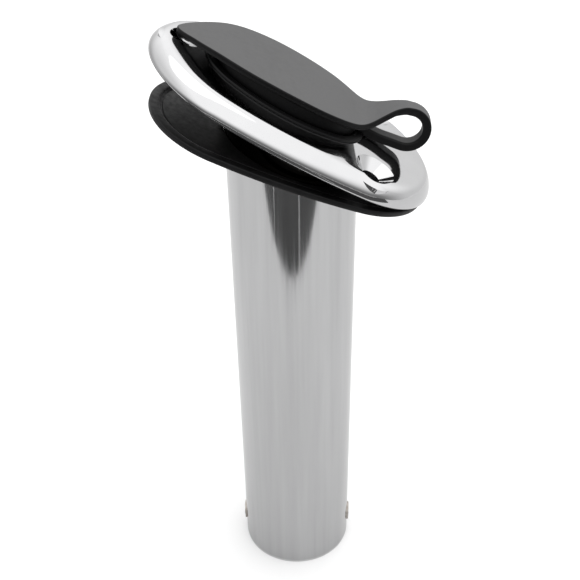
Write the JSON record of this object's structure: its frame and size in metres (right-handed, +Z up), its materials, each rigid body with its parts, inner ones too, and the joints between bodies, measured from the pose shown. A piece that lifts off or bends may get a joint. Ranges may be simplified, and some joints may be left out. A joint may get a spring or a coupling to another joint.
{
  "type": "flush-mount fishing rod holder",
  "caption": "Upright stainless tube under a tilted, domed oval flange with countersunk screw holes, a hanging gasket, a plastic insert and a strapped rubber cap.",
  "frame": {"origin": "centre of the tube's open foot", "axes": "+Z up the tube's axis to the mouth, +X to the flange's low end, +Y across the flange"},
  "size_m": [0.1065, 0.072, 0.2599],
  "materials": {
    "flange_polish": "mirror-polished cast 316 stainless steel",
    "tube_satin": "fine satin-polished welded stainless tube",
    "weld": "heat-tinted TIG weld bead",
    "pin_steel": "turned stainless bar",
    "liner_plastic": "black extruded PVC",
    "gasket_rubber": "black moulded rubber",
    "cap_rubber": "black moulded rubber",
    "lid_face": "matte moulded rubber, grey in the light"
  },
  "bodies": {
    "holder": {"flange": "flange_polish", "tube": "tube_satin", "flange_weld": "weld", "gimbal_pin": "pin_steel", "pin_welds": "weld", "liner": "liner_plastic", "mouth_collar": "cap_rubber", "strap_root": "cap_rubber"},
    "strap_outer": {"strap_link_outer": "cap_rubber"},
    "strap_upper": {"strap_link_upper": "cap_rubber"},
    "lid": {"lid_plate": "lid_face", "lid_plug": "cap_rubber", "strap_end": "cap_rubber"},
    "gasket": {"gasket": "gasket_rubber"}
  },
  "joints": [
    {"name": "strap_hinge_low", "type": "hinge", "parent": "holder", "child": "strap_outer", "pos_m": [0.04521, 0, 0.21466], "axis": [0, 1, 0], "range_deg": [0, 55]},
    {"name": "strap_hinge_outer", "type": "hinge", "parent": "strap_outer", "child": "strap_upper", "pos_m": [0.0509, 0, 0.22145], "axis": [0, 1, 0], "range_deg": [0, 55]},
    {"name": "strap_hinge_upper", "type": "hinge", "parent": "strap_upper", "child": "lid", "pos_m": [0.04569, 0, 0.22863], "axis": [0, 1, 0], "range_deg": [0, 55]},
    {"name": "gasket_hang", "type": "hinge", "parent": "holder", "child": "gasket", "pos_m": [0.0663, 0, 0.22404], "axis": [0, 1, 0], "range_deg": [0, 9.1]}
  ],
  "couplings": [
    {"joint": "strap_hinge_outer", "follows": "strap_hinge_low", "ratio": 1},
    {"joint": "strap_hinge_upper", "follows": "strap_hinge_low", "ratio": 1}
  ]
}
